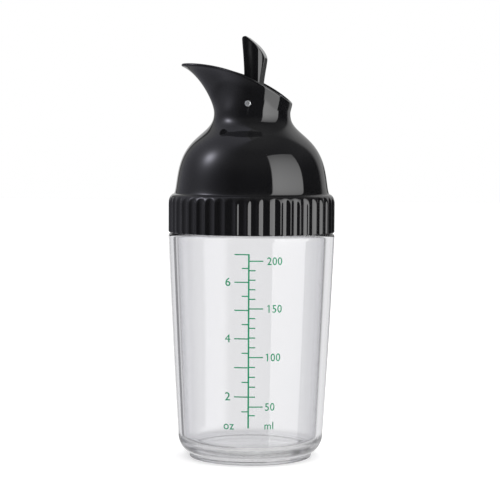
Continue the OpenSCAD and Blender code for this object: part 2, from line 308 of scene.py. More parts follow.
def thread_tree():
    """Raises screw thread ridges on a turned wall, and leaves the rest of the mesh alone."""
    tree, add, given, out = shape_tree(
        "screw_thread", Root_Radius=1.0, Rise=1.0, Pitch=1.0, Lead=1.0, Low_End=0.0, High_End=1.0,
        Run_Out=1.0, Crest_Width=1.0, Root_Width=1.0, Phase=0.0, Material=None)
    place = add("GeometryNodeInputPosition").outputs[0]
    x, y, z = add.parts(place)
    radius = add.away(x, y)
    on_wall = add.math("COMPARE", radius, given["Root Radius"], 0.02 * MM)
    turns = add.math("DIVIDE", add.math("ARCTAN2", y, x), 2 * pi)
    along = add.math("DIVIDE", add.minus(z, add.times(turns, given["Lead"])), given["Pitch"])
    share = add.math("FRACT", add.plus(along, given["Phase"]))
    from_crest = add.times(add.math("ABSOLUTE", add.minus(share, 0.5)), given["Pitch"])
    ridge = add.ranged(from_crest, add.times(given["Crest Width"], 0.5), add.times(given["Root Width"], 0.5),
                       1.0, 0.0)
    low = add.ranged(z, given["Low End"], add.plus(given["Low End"], given["Run Out"]))
    high = add.ranged(z, add.minus(given["High End"], given["Run Out"]), given["High End"], 1.0, 0.0)
    amount = add.times(given["Rise"], ridge, low, high, on_wall)
    outward = add("ShaderNodeVectorMath", {0: add.vector(x, y, 0.0)}, operation="NORMALIZE").outputs[0]
    offset = add("ShaderNodeVectorMath", {0: outward, "Scale": amount}, operation="SCALE").outputs[0]
    moved = add("GeometryNodeSetPosition", {"Geometry": given["Geometry"], "Offset": offset}).outputs[0]
    finish_tree(add, out, moved, given["Material"])
    return tree


def flute_tree():
    """Presses one hollow into one pitch of a ring, and repeats that pitch all the way round."""
    tree, add, given, out = shape_tree("fluted_ring", Flutes=1, Hollow_Radius=1.0, Hollow_Centre=1.0,
                                       Edge_Softness=1.0, Material=None)
    x, y, z = add.parts(add("GeometryNodeInputPosition").outputs[0])
    radius = add.away(x, y)
    angle = add.math("ARCTAN2", y, x)
    across = add.times(given["Hollow Centre"], add.math("SINE", angle))
    square = add.math("POWER", given["Hollow Radius"], 2.0)
    depth = add.math("SQRT", add.minus(square, add.times(across, across)))
    hollow = add.minus(add.times(given["Hollow Centre"], add.math("COSINE", angle)), depth)
    pressed = add.math("SMOOTH_MIN", radius, hollow, given["Edge Softness"])
    factor = add.math("DIVIDE", pressed, radius)
    place = add.vector(add.times(x, factor), add.times(y, factor), z)
    wedge = add("GeometryNodeSetPosition", {"Geometry": given["Geometry"], "Position": place}).outputs[0]
    spots = add("GeometryNodePoints", {"Count": given["Flutes"]}).outputs[0]
    turn = add.math("DIVIDE", add.times(add("GeometryNodeInputIndex").outputs[0], 2 * pi), given["Flutes"])
    turn = add("FunctionNodeEulerToRotation", {0: add.vector(0.0, 0.0, turn)}).outputs[0]
    ring = add("GeometryNodeInstanceOnPoints", {"Points": spots, "Instance": wedge, "Rotation": turn})
    real = add("GeometryNodeRealizeInstances", {0: ring.outputs[0]}).outputs[0]
    whole = add("GeometryNodeMergeByDistance", {"Geometry": real, "Distance": 0.001 * MM}).outputs[0]
    finish_tree(add, out, whole, given["Material"])
    return tree


def marks_tree():
    """A row of printed bars up a scale whose steps shorten with the height, every few of them long."""
    tree, add, given, out = shape_tree(
        "scale_marks", Marks=1, First_Mark=1, Long_Every=1, Zero_Height=0.0, Step_Rise=1.0, Step_Loss=0.0,
        Start_Across=0.0, Short_Length=1.0, Long_Length=1.0, Side=1.0, Stroke=1.0, Ink_Depth=1.0,
        Material=None)
    number = add.plus(add("GeometryNodeInputIndex").outputs[0], given["First Mark"])
    loss = add.times(given["Step Loss"], add.times(number, number))
    height = add.plus(add.minus(add.times(given["Step Rise"], number), loss), given["Zero Height"])
    is_long = add.math("COMPARE", add.math("MODULO", number, given["Long Every"]), 0.0, 0.1)
    extra = add.times(is_long, add.minus(given["Long Length"], given["Short Length"]))
    length = add.plus(given["Short Length"], extra)
    middle = add.plus(given["Start Across"], add.times(length, 0.5))
    spots = add("GeometryNodePoints", {
        "Count": given["Marks"],
        "Position": add.vector(add.times(middle, given["Side"]), 0.0, height)}).outputs[0]
    bar = add("GeometryNodeMeshCube", {"Size": add.vector(1.0, given["Ink Depth"], given["Stroke"]),
                                       "Vertices X": 13}).outputs[0]
    row = add("GeometryNodeInstanceOnPoints", {"Points": spots, "Instance": bar,
                                               "Scale": add.vector(length, 1.0, 1.0)}).outputs[0]
    both = add("GeometryNodeJoinGeometry", {0: row})
    add.feed(both, {0: given["Geometry"]})
    finish_tree(add, out, both.outputs[0], given["Material"])
    return tree


def wrap_tree():
    """Wraps flat print round the side of the bottle, which tapers and bows a little."""
    tree, add, given, out = shape_tree(
        "wrap_round_side", Low_Radius=1.0, High_Radius=1.0, Low_Height=0.0, High_Height=1.0, Bow=0.0,
        Direction=0.0, Lift=0.0, Material=None)
    x, y, z = add.parts(add("GeometryNodeInputPosition").outputs[0])
    share = add.ranged(z, given["Low Height"], given["High Height"], kind="LINEAR")
    taper = add.times(share, add.minus(given["High Radius"], given["Low Radius"]))
    bow = add.times(share, add.minus(1.0, share), given["Bow"], 4.0)
    side = add.plus(given["Low Radius"], taper, bow)
    radius = add.plus(side, add.minus(given["Lift"], y))
    angle = add.plus(given["Direction"], add.math("DIVIDE", x, side))
    place = add.vector(add.times(radius, add.math("COSINE", angle)),
                       add.times(radius, add.math("SINE", angle)), z)
    moved = add("GeometryNodeSetPosition", {"Geometry": given["Geometry"], "Position": place}).outputs[0]
    finish_tree(add, out, moved, given["Material"])
    return tree


# Finishes

def finish_of(name):
    """A new material: its nodes, its main shader and its object coordinates."""
    material = bpy.data.materials.new(name)
    material.use_nodes = True
    tree = material.node_tree
    shader = tree.nodes["Principled BSDF"]
    add = Nodes(tree)
    return material, add, shader, add("ShaderNodeTexCoord").outputs["Object"]


def noise(add, place, scale, detail=2.0, roughness=0.5):
    """Soft random spots, between 0 and 1."""
    return add("ShaderNodeTexNoise", {"Vector": place, "Scale": scale, "Detail": detail,
                                      "Roughness": roughness}).outputs["Fac"]


def bump(add, height, strength, distance):
    return add("ShaderNodeBump", {"Height": height, "Strength": strength, "Distance": distance}).outputs[0]


def ramp(add, value, *stops):
    """A colour that follows a value from stop to stop."""
    node = add("ShaderNodeValToRGB", {0: value})
    points = node.color_ramp.elements
    while len(points) < len(stops):
        points.new(0.5)
    for point, (at, colour) in zip(points, stops):
        point.position, point.color = at, (*colour, 1.0)
    return node.outputs[0]


def gloss_black():
    """Polished black moulding: faint swirl in the tone, a trace of haze and a slightly wavy skin."""
    material, add, shader, place = finish_of("gloss_black_moulding")
    add.feed(shader, {
        "Base Color": ramp(add, noise(add, place, 45.0, 3.0),
                           (0.3, (0.0040, 0.0040, 0.0046)), (0.75, (0.0060, 0.0060, 0.0068))),
        "Roughness": add.ranged(noise(add, place, 130.0, 4.0, 0.6), 0.35, 0.75, 0.035, 0.075),
        "IOR": 1.52,
        "Normal": bump(add, noise(add, place, 260.0, 1.0), 0.03, 0.2 * MM)})
    return material


def clear_moulding():
    """Clear plastic: greyer where a wall is seen edge on, a painted shade for the dark room that a slanting
    wall shows, satin at the foot, with faint flow marks.
    """
    material, add, shader, place = finish_of("clear_moulding")
    facing = add("ShaderNodeLayerWeight", {"Blend": 0.5}).outputs["Facing"]
    haze = add.ranged(noise(add, place, 90.0, 3.0), 0.4, 0.8, 0.0, 0.02)
    satin = add.ranged(add.parts(place)[2], HEEL_Z * 0.75 * MM, HEEL_Z * 1.2 * MM, 0.13, 0.0)
    upright = add("ShaderNodeMapping", {"Vector": place, "Scale": (1.0, 1.0, 0.06)}).outputs[0]
    add.feed(shader, {
        # the colour greys towards walls seen edge on: painted shade standing for the dark surroundings seen
        # through them
        "Base Color": ramp(add, facing, (0.0, (0.975, 0.975, 0.985)), (0.3, (0.965, 0.965, 0.98)),
                           (0.55, (0.90, 0.90, 0.925)), (1.0, (0.72, 0.72, 0.76))),
        "Roughness": add.plus(haze, satin),
        "IOR": 1.5,
        "Transmission Weight": 1.0,
        "Normal": bump(add, noise(add, upright, 160.0, 2.0), 0.02, 0.15 * MM)})
    # a shadow ray passes straight through, so that light reaches the floor and the pieces inside
    open_light = add("ShaderNodeBsdfTransparent", {"Color": (0.93, 0.93, 0.94, 1.0)}).outputs[0]
    shadow = add("ShaderNodeLightPath").outputs["Is Shadow Ray"]
    mixed = add("ShaderNodeMixShader", {0: shadow, 1: shader.outputs[0], 2: open_light}).outputs[0]
    add.feed(add.tree.nodes["Material Output"], {"Surface": mixed})
    return material


def scale_ink():
    """Green screen print, slightly uneven in cover."""
    material, add, shader, place = finish_of("scale_ink")
    add.feed(shader, {
        "Base Color": ramp(add, noise(add, place, 900.0, 3.0),
                           (0.3, (0.000, 0.195, 0.085)), (0.7, (0.002, 0.275, 0.130))),
        "Roughness": add.ranged(noise(add, place, 1500.0), 0.3, 0.7, 0.35, 0.55),
        "Specular IOR Level": 0.25,
        "Normal": bump(add, noise(add, place, 2500.0), 0.2, 0.02 * MM)})
    return material


def soft_silicone():
    """Milky silicone with a fine matt grain."""
    material, add, shader, place = finish_of("milky_silicone")
    add.feed(shader, {
        "Base Color": ramp(add, noise(add, place, 80.0, 3.0),
                           (0.3, (0.50, 0.51, 0.53)), (0.75, (0.60, 0.61, 0.63))),
        "Roughness": add.ranged(noise(add, place, 600.0), 0.3, 0.7, 0.42, 0.62),
        "Subsurface Weight": 0.15,
        "Subsurface Scale": 1.0 * MM,
        "Normal": bump(add, noise(add, place, 2200.0, 3.0), 0.15, 0.03 * MM)})
    return material


def turned_steel():
    """Bright steel with turning marks round the pin's axis and on its ends."""
    material, add, shader, place = finish_of("turned_steel")
    place = add("ShaderNodeMapping", {"Vector": place, "Location": (0.0, 0.0, -PIN_Z * MM)}).outputs[0]
    x, y, z = add.parts(place)
    rings = noise(add, add.vector(add.away(x, z), 0.0, y), 9000.0)
    add.feed(shader, {
        "Base Color": ramp(add, rings, (0.3, (0.52, 0.53, 0.55)), (0.7, (0.70, 0.71, 0.73))),
        "Roughness": add.ranged(rings, 0.2, 0.8, 0.22, 0.38),
        "Metallic": 0.8,
        "Normal": bump(add, rings, 0.15, 0.02 * MM)})
    return material


black, clear, ink = gloss_black(), clear_moulding(), scale_ink()
silicone, steel = soft_silicone(), turned_steel()


def dressed(obj, material, body, node=None):
    """Gives a finished piece its finish and its body, and hides the CAD node that it stands for."""
    obj.data.materials.clear()
    obj.data.materials.append(material)
    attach(obj, body)
    if node:
        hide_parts(node)


# Bottle

def side_r(z):
    """The outer radius of the bottle's side at one height."""
    s = (z - HEEL_Z) / (SIDE_TOP_Z - HEEL_Z)
    return HEEL_TOP_R + (BODY_R - HEEL_TOP_R) * s + 4 * BODY_BOW * s * (1 - s)


def bottle_outline():
    """Radius and height all along the bottle's wall, from the middle of the punt round to the inner floor."""
    foot_top_z = HEEL_Z - HEEL_R * sin(radians(HEEL_SWEEP))
    heel_rx = (HEEL_TOP_R - FOOT_R - FOOT_STEP) / (1 - cos(radians(HEEL_SWEEP)))
    foot_inner_r = FOOT_R - 2 * FOOT_EDGE_R - FOOT_FACE_W
    corner_z = FLOOR_Z + FLOOR_CORNER_R
    side_steps, root_r, long_run, fine_run = 48, 0.25, 1.6, 0.25
    side = [HEEL_Z + (SIDE_TOP_Z - HEEL_Z) * i / side_steps for i in range(1, side_steps)]
    punt = bezier([(0, PUNT_H), (foot_inner_r / 2, PUNT_H), (foot_inner_r, foot_top_z),
                   (foot_inner_r, FOOT_EDGE_R)], 20)
    foot = (arc((foot_inner_r + FOOT_EDGE_R, FOOT_EDGE_R), FOOT_EDGE_R, FOOT_EDGE_R, 180, 270, 6)
            + arc((FOOT_R - FOOT_EDGE_R, FOOT_EDGE_R), FOOT_EDGE_R, FOOT_EDGE_R, 270, 360, 6))
    root = rounded([(FOOT_R, FOOT_EDGE_R * 1.2), (FOOT_R, foot_top_z), (FOOT_R + FOOT_STEP, foot_top_z)],
                   root_r)
    heel = arc((HEEL_TOP_R - heel_rx, HEEL_Z), heel_rx, HEEL_R, -HEEL_SWEEP, 0, 28)
    outside = [(side_r(z), z) for z in side]
    shoulder = arc((BODY_R - SHOULDER_EDGE_R, SIDE_TOP_Z), SHOULDER_EDGE_R, SHOULDER_EDGE_R, 0, 90, 8)
    neck = (arc((NECK_R + NECK_EDGE_R, BODY_H + NECK_EDGE_R), NECK_EDGE_R, NECK_EDGE_R, 270, 180, 5)
            + arc((NECK_R - NECK_EDGE_R, MOUTH_Z - NECK_EDGE_R), NECK_EDGE_R, NECK_EDGE_R, 0, 90, 5))
    lip = arc((NECK_BORE_R + NECK_EDGE_R, MOUTH_Z - NECK_EDGE_R), NECK_EDGE_R, NECK_EDGE_R, 90, 180, 5)
    corner = arc((side_r(corner_z) - BOTTLE_WALL - FLOOR_CORNER_R, corner_z), FLOOR_CORNER_R, FLOOR_CORNER_R,
                 0, -90, 16)
    # the neck is cut finely enough for its thread, and the rest only as finely as its curves need
    below = divided(punt[:-1] + foot + root[1:] + heel + outside + shoulder, long_run)
    above = divided([shoulder[-1]] + neck + lip, fine_run)[1:]
    inside = divided([lip[-1], (NECK_BORE_R, BODY_H)] + corner + [(0, FLOOR_Z)], long_run)[1:]
    return below + above + inside


bottle = solid("bottle_clear", turned(bottle_outline(), 180), sharp=60)
threads = thread_tree()
thread_sizes = dict(Pitch=THREAD_PITCH * MM, Lead=THREAD_LEAD * MM, Crest_Width=THREAD_CREST_W * MM,
                    Root_Width=THREAD_ROOT_W * MM, Run_Out=THREAD_RUN_OUT * MM)
grow(bottle, threads, Root_Radius=NECK_R * MM, Rise=THREAD_RISE * MM, Low_End=NECK_THREAD[0] * MM,
     High_End=NECK_THREAD[1] * MM, Phase=0.0, Material=clear, **thread_sizes)
smooth(bottle, 60)
dressed(bottle, clear, "bottle", "bottle")


# Printed scale

INK_DEPTH, INK_LIFT, STROKE, TICK = 0.04, 0.03, 0.62, 0.46
SCALE_FROM_Z, SCALE_TO_Z, SCALE_DIRECTION = 15.8, 84.45, -85.05
OUNCE = dict(Zero_Height=4.445, Step_Rise=6.048, Step_Loss=0.025075)
CENTILITRE = dict(Zero_Height=4.18, Step_Rise=4.0677, Step_Loss=0.00967)
# the lowest of these bars stands a little above its place
LOWEST_CENTILITRE = dict(CENTILITRE, Zero_Height=4.75)
# how high the unit marks stand, and how far the numbers stand below their bars
UNITS_Z, OUNCE_DROP, MILLILITRE_DROP = 16.6, 0.1, 0.2
# the outline of the small flag on a digit 1, from the top of its left side
FLAG = ((0.1, -0.02), (-0.5, -0.38), (-0.5, -0.72), (0.1, -0.42))


def mark_z(law, number):
    """The height of one mark of the printed scale."""
    return law["Zero_Height"] + law["Step_Rise"] * number - law["Step_Loss"] * number ** 2


def flat_box(name, x0, x1, z0, z1, pieces):
    """A flat printed bar, cut across its height so that it can follow the side."""
    half = INK_DEPTH / 2
    levels = [z0 + (z1 - z0) * i / pieces for i in range(pieces + 1)]
    return solid(name, stacked([[(x0, -half, z), (x1, -half, z), (x1, half, z), (x0, half, z)]
                                for z in levels]))


def flat_word(text, x, z, align, size=4.3, width_share=0.92):
    """Upright flat lettering as a mesh, its middle line at height z."""
    curve = bpy.data.curves.new(text, "FONT")
    curve.body, curve.size, curve.extrude, curve.resolution_u = text, size * MM, INK_DEPTH / 2 * MM, 5
    # a little bolder than the font, but not the digit with a small hole in it
    curve.offset = (0.0 if text == "4" else 0.03) * MM
    curve.align_x, curve.align_y = align, "CENTER"
    curve.space_character = 1.08
    holder = bpy.data.objects.new(text, curve)
    bpy.context.scene.collection.objects.link(holder)
    mesh = bpy.data.meshes.new_from_object(holder)
    bpy.data.objects.remove(holder)
    bpy.data.curves.remove(curve)
    mesh.transform(Matrix(((width_share, 0, 0, x * MM), (0, 0, -1, 0), (0, 1, 0, z * MM), (0, 0, 0, 1))))
    bm = bmesh.new()
    bm.from_mesh(mesh)
    if text[0] == "1":
        # the built-in digit is a plain bar, and the printed one has a small flag at its top
        left, top = min(v.co.x for v in bm.verts), max(v.co.z for v in bm.verts)
        put(bm, *stacked([[(left + u * MM, y * MM, top + w * MM) for u, w in FLAG]
                          for y in (-INK_DEPTH / 2, INK_DEPTH / 2)]))
    bmesh.ops.remove_doubles(bm, verts=bm.verts, dist=0.001 * MM)
    bmesh.ops.recalc_face_normals(bm, faces=bm.faces)
    bm.to_mesh(mesh)
    bm.free()
    obj = bpy.data.objects.new("word", mesh)
    bpy.context.scene.collection.objects.link(obj)
    return obj


def joined(first, *others):
    """Adds the meshes of other objects to the first."""
    bm = bmesh.new()
    for obj in (first, *others):
        bm.from_mesh(obj.data)
    bm.to_mesh(first.data)
    bm.free()
    for obj in others:
        bpy.data.objects.remove(obj)
    return first


marks = marks_tree()
bar_sizes = dict(Start_Across=STROKE / 2 * MM, Stroke=TICK * MM, Ink_Depth=INK_DEPTH * MM, Material=ink)


def in_metres(law):
    return {key: value * MM for key, value in law.items()}


scale = flat_box("scale_print", -STROKE / 2, STROKE / 2, SCALE_FROM_Z, SCALE_TO_Z, 24)
grow(scale, marks, Marks=12, First_Mark=3, Long_Every=2, Short_Length=2.4 * MM, Long_Length=5.3 * MM,
     Side=-1.0, **in_metres(OUNCE), **bar_sizes)
for law, first, count in ((LOWEST_CENTILITRE, 4, 1), (CENTILITRE, 5, 16)):
    grow(scale, marks, Marks=count, First_Mark=first, Long_Every=5, Short_Length=2.3 * MM,
         Long_Length=5.35 * MM, Side=1.0, **in_metres(law), **bar_sizes)
joined(scale,
       *(flat_word(str(n), -8.25, mark_z(OUNCE, 2 * n) - OUNCE_DROP, "CENTER", 4.6, 1.04) for n in (2, 4, 6)),
       *(flat_word(str(n), x, mark_z(CENTILITRE, n / 10) - MILLILITRE_DROP, "LEFT")
         for n, x in ((50, 6.4), (100, 6.5), (150, 7.0), (200, 7.05))),
       flat_word("oz", -7.8, UNITS_Z, "CENTER", 4.7), flat_word("ml", 8.2, UNITS_Z, "CENTER", 4.2))
grow(scale, wrap_tree(), Low_Radius=HEEL_TOP_R * MM, High_Radius=BODY_R * MM, Low_Height=HEEL_Z * MM,
     High_Height=SIDE_TOP_Z * MM, Bow=BODY_BOW * MM, Direction=radians(SCALE_DIRECTION),
     Lift=(INK_DEPTH / 2 + INK_LIFT) * MM, Material=ink)
dressed(scale, ink, "bottle")


# Lid

dome_points = [(DOME_R + (WAIST_R - DOME_R) * u, DOME_Z + DOME_H * v) for u, v in DOME_SHARES]
dome_inner = [p for p in bezier_beside(dome_points, LID_WALL, 40) if p[1] < DECK_Z - DECK_T]
LID_BORE_R, BORE_TOP_Z = dome_inner[0][0], DOME_Z - 1.9
CREST_X = CREST_BACK - SPOUT_REACH
RIM_RUN, RIM_DROP = RIM_R - LIP_R - CREST_X, SPOUT_H - REAR_LIP_H
RIM_ARC_R = (RIM_RUN ** 2 + RIM_DROP ** 2) / (2 * RIM_DROP)


def collar():
    """One pitch of the collar, still plain: its tree presses the hollow and repeats the pitch."""
    outline = (
        divided([(SKIRT_R, COLLAR_Z), (BODY_R - COLLAR_EDGE_R, COLLAR_Z)], 0.7)[:-1]
        + arc((BODY_R - COLLAR_EDGE_R, COLLAR_Z + COLLAR_EDGE_R), COLLAR_EDGE_R, COLLAR_EDGE_R, 270, 360, 5)
        + divided([(BODY_R, COLLAR_Z + COLLAR_EDGE_R), (BODY_R, DOME_Z - COLLAR_SHOULDER_H)], 1.3)[1:-1]
        + arc((DOME_R, DOME_Z - COLLAR_SHOULDER_H), DOME_INSET, COLLAR_SHOULDER_H, 0, 90, 26)
        + [(LID_BORE_R, BORE_TOP_Z), (LID_BORE_R, LEDGE_Z), (SKIRT_R, LEDGE_Z)])
    wide, columns = 360 / FLUTES, 20
    sections = [[(r * cos(a), r * sin(a), z) for r, z in outline]
                for a in (radians(wide * (i / columns - 0.5)) for i in range(columns + 1))]
    points, faces = skin(sections, False)
    # the strip is open at both sides, where its neighbours follow, and the skirt's bore is its own ring
    last = len(outline) * columns
    return points, [f for f in faces if max(f) - min(f) < last]


def skirt_bore():
    """The inside of the skirt, finely divided so that the thread can stand on it."""
    return turned(divided([(SKIRT_R, LEDGE_Z), (SKIRT_R, COLLAR_Z)], 0.25), 192)


def lip_centre(a):
    """Radius and height of the middle of the spout's rounded lip, at one angle round the axis."""
    share = max(0.0, -cos(a)) ** BEAK_POWER
    r = RIM_R + (SPOUT_REACH - RIM_R) * share - LIP_R
    return r, DECK_Z + SPOUT_H - RIM_ARC_R + sqrt(RIM_ARC_R ** 2 - (r * cos(a) - CREST_X) ** 2) - LIP_R


def wall_line(base_r, a, side, slope):
    """Control points of the spout's outer or inner side, from the deck up to the lip."""
    centre = lip_centre(a)
    top = (centre[0] + side * LIP_R * sin(slope), centre[1] - side * LIP_R * cos(slope))
    rise = top[1] - DECK_Z
    near_top = (top[0] - RISE_SHARES[1] * rise * cos(slope), top[1] - RISE_SHARES[1] * rise * sin(slope))
    return [(base_r, DECK_Z), (base_r, DECK_Z + RISE_SHARES[0] * rise), near_top, top]


def dome_section(a):
    """The closed section of dome, neck and spout at one angle round the axis."""
    slope = radians(SIDE_SLOPE + (BEAK_SLOPE - SIDE_SLOPE) * ((1 - cos(a)) / 2) ** 3)
    centre = lip_centre(a)
    round_lip = [slope - pi / 2 + pi * i / 10 for i in range(1, 10)]
    lip = [(centre[0] + LIP_R * cos(t), centre[1] + LIP_R * sin(t)) for t in round_lip]
    outer = bezier(wall_line(WAIST_R, a, 1, slope), 26)
    inner = bezier(wall_line(CHANNEL_R, a, -1, slope), 22)[::-1]
    wall = bezier(dome_points, 44)
    crease = bezier([(DOME_R + CREASE_W, DOME_Z - 0.1), (DOME_R, DOME_Z), wall[1]], 5)
    return (crease + wall[2:] + outer + lip + inner
            + [(CHANNEL_R, DECK_Z - 0.5), (dome_inner[-1][0], DECK_Z - DECK_T)] + dome_inner[::-1]
            + [(LID_BORE_R, BORE_TOP_Z)])


def dome_and_spout(count=216, crowding=0.45):
    """The lid's upper body, its sections crowded towards the point of the beak."""
    sections = []
    for i in range(count):
        s = 2 * i / count - 1
        a = pi + pi * (s * (1 - crowding) + s ** 3 * crowding)
        sections.append([(r * cos(a), r * sin(a), z) for r, z in dome_section(a)])
    return skin(sections, True)


def deck():
    """The deck across the neck, with the pour hole through it."""
    # it goes a little way into the wall of the neck
    into_wall, edge, rim_h = 0.25, 0.3, 0.45
    rim_r, sections = CHANNEL_R + into_wall, []
    for i in range(120):
        a = 2 * pi * i / 120
        c, s = cos(a), sin(a)
        reach = -POUR_X * c + sqrt(rim_r ** 2 - (POUR_X * s) ** 2)
        under = reach - (rim_r - dome_inner[-1][0]) - 0.1
        outline = (arc((POUR_R + edge, DECK_Z - edge), edge, edge, 180, 90, 4)
                   + [((reach + POUR_R) / 2, DECK_Z), (reach, DECK_Z), (reach, DECK_Z - rim_h),
                      (max(under, POUR_R + 2 * edge), DECK_Z - DECK_T), (POUR_R + edge, DECK_Z - DECK_T),
                      (POUR_R, DECK_Z - DECK_T + edge)])
        sections.append([(POUR_X + r * c, r * s, z) for r, z in outline])
    return skin(sections, True)


def along_pin(name, r, half, count=48, edge=0.0, crown=0.0):
    """A round bar along the pin's axis, its ends flat or crowned."""
    inner = half - crown
    end = [((r - edge) * i / 6, half - crown * ((r - edge) * i / 6 / r) ** 2) for i in range(6)]
    middle = divided(arc((r - edge, edge - inner), edge, edge, 270, 360, 4)
                     + arc((r - edge, inner - edge), edge, edge, 0, 90, 4), 2.0)
    outline = [(x, -y) for x, y in end] + middle + end[::-1]
    points, faces = turned(outline, count)
    return solid(name, ([(x, z, PIN_Z + y) for x, y, z in points], faces))


ring = solid("collar_pitch", collar())
grow(ring, flute_tree(), Flutes=FLUTES, Hollow_Radius=FLUTE_R * MM,
     Hollow_Centre=(BODY_R - FLUTE_DEPTH + FLUTE_R) * MM, Edge_Softness=FLUTE_SOFTNESS * MM, Material=black)
bore = solid("skirt_bore", skirt_bore())
grow(bore, threads, Root_Radius=SKIRT_R * MM, Rise=-THREAD_RISE * MM, Low_End=SKIRT_THREAD[0] * MM,
     High_End=SKIRT_THREAD[1] * MM, Phase=0.5, Material=black, **thread_sizes)
dome = solid("lid_dome", dome_and_spout())
cut(dome, along_pin("bore", PIN_R + PIN_FIT, RIM_R + 1))
lid = joined(ring, bore, dome, solid("deck", deck()))
lid.name = lid.data.name = "lid_moulding"
smooth(lid, 35)
dressed(lid, black, "lid", "lid_shell")

pin = along_pin("hinge_pin_steel", PIN_R, WAIST_R - PIN_FIT, edge=0.1, crown=0.28)
dressed(pin, steel, "lid", "hinge_pin")

gasket = solid("neck_gasket", turned(rounded(
    [(SKIRT_R - 0.4, MOUTH_Z), (SKIRT_R - GASKET_GAP, MOUTH_Z), (SKIRT_R - GASKET_GAP, LEDGE_Z),
     (LID_BORE_R + GASKET_GAP, LEDGE_Z), (LID_BORE_R + GASKET_GAP, MOUTH_Z), (SKIRT_R - 0.4, MOUTH_Z)], 0.3),
    144))
dressed(gasket, silicone, "gasket", "lid_gasket")


# Lever and stopper

def lever_side():
    """The lever's outline from the side, about the pin."""
    brow_z, pad_z = LEVER_H - LEVER_FRONT / 2, LEVER_H - PAD_DROP
    front = bezier([(-LEVER_FRONT, 0), (LEVER_FRONT / 8 - LEVER_FRONT, LEVER_H / 3),
                    (-LEVER_FRONT, LEVER_H * 2 / 3), (-BROW_FRONT, brow_z)], 40)
    brow = bezier([(-BROW_FRONT, brow_z), (-BROW_FRONT, LEVER_H), (-BROW_FRONT / 2, LEVER_H)], 10)
    pad = bezier([(-BROW_FRONT / 2, LEVER_H), (PAD_BACK / 4, LEVER_H - PAD_DROP / 4),
                  (PAD_BACK * 3 / 4, pad_z + PAD_DROP / 2), (PAD_BACK, pad_z + PAD_DROP / 10)], 20)
    rear = bezier([(PAD_BACK, pad_z + PAD_DROP / 10), (PAD_BACK, pad_z - PAD_DROP / 10),
                   (PAD_BACK * 2 / 3, pad_z - PAD_DROP / 2), (BARREL_R, 0)], 40)
    return front + brow[1:] + pad[1:] + rear[1:]


def soft_min(a, b, k):
    """The smaller of two values, with a rounded passage where they are nearly the same."""
    h = max(k - abs(a - b), 0.0) / k
    return min(a, b) - h * h * k * 0.25


def plan_reach(depth, corner_r, out):
    """How far the rounded plan reaches at one distance from the lever's middle."""
    past = max(0.0, out - LEVER_W / 2 + corner_r)
    return depth - corner_r + sqrt(max(0.0, corner_r ** 2 - past ** 2))


def lever_blade():
    """The blade: its side outline carried across, kept inside the rounded plan, its side edges softened."""
    half, edge, back_blend, front_blend = LEVER_W / 2, 0.45, 0.5, 0.3
    outline = lever_side()
    count = len(outline)
    inward = []
    for i in range(count):
        before, after = outline[i - 1], outline[(i + 1) % count]
        u, v = after[0] - before[0], after[1] - before[1]
        run = hypot(u, v)
        inward.append((v / run, -u / run))
    levels = [(-half + edge * (1 - cos(radians(t))), edge * (1 - sin(radians(t)))) for t in range(0, 91, 18)]
    corner = [half - LEVER_BACK_R * (1 - sin(radians(t))) for t in range(78, -1, -6)]
    levels += [(-y, 0.0) for y in corner if y < half - edge - 0.02]
    levels += [(0.0, 0.0)] + [(-y, inset) for y, inset in reversed(levels)]
    sections = []
    for y, inset in levels:
        back = plan_reach(PAD_BACK, LEVER_BACK_R, abs(y))
        front = plan_reach(BROW_FRONT, LEVER_FRONT_R, abs(y))
        section = []
        for (x, z), (u, v) in zip(outline, inward):
            x = soft_min(x + inset * u, back, back_blend)
            section.append((-soft_min(-x, front, front_blend), y, PIN_Z + z + inset * v))
        sections.append(section)
    return stacked(sections)


def foot_plate():
    """The foot that carries the stopper: round over the pour hole, straight back to the barrel."""
    half, edge = STOPPER_R, 0.4
    plan = arc((POUR_X, 0), half, half, 270, 90, 40) + [(0.0, half), (0.0, -half)]
    levels = [(0.0, 0.0)] + [(FOOT_T - edge + edge * sin(radians(t)), edge * (1 - cos(radians(t))))
                             for t in (0, 30, 60, 90)]
    sections = []
    for h, inset in levels:
        shrink = (half - inset) / half
        sections.append([(POUR_X + (x - POUR_X) * (shrink if x < -0.001 else 1.0), y * shrink, FLANGE_Z + h)
                         for x, y in plan])
    return stacked(sections)


barrel_half = sqrt(CHANNEL_R ** 2 - BARREL_R ** 2) - BARREL_GAP
lever = solid("flip_lever", lever_blade())
stud_foot_z, stud_edge = FLANGE_Z - FLANGE_T + SEAT_W, 0.3
stud = [(0, stud_foot_z), (STUD_R - stud_edge, stud_foot_z), (STUD_R, stud_foot_z + stud_edge),
        (STUD_R, FLANGE_Z + 1), (0, FLANGE_Z + 1)]
cut(lever, along_pin("barrel", BARREL_R, barrel_half, 72, 0.3), solid("foot", foot_plate()),
    solid("stud", turned(stud, 40, (POUR_X, 0))), operation="UNION")
cut(lever, along_pin("bore", PIN_R + PIN_RUN, CHANNEL_R))
smooth(lever, 35)
dressed(lever, black, "lever", "lever")

nose_r, stud_z = POUR_R - SEAT_GAP, stud_foot_z - SEAT_GAP
nose_z, nose_taper = FLANGE_Z - FLANGE_T - NOSE_H, 0.577
stopper = solid("pour_stopper", turned([(0, nose_z)] + rounded(
    [(nose_r * 0.4, nose_z), (nose_r - NOSE_H * nose_taper, nose_z), (nose_r, nose_z + NOSE_H),
     (STOPPER_R, FLANGE_Z - FLANGE_T), (STOPPER_R, FLANGE_Z), (STUD_R + SEAT_GAP, FLANGE_Z),
     (STUD_R + SEAT_GAP, stud_z), (STUD_R * 0.4, stud_z)], 0.25, 5) + [(0, stud_z)], 72, (POUR_X, 0)))
dressed(stopper, silicone, "lever", "stopper")


# Floor, light and camera

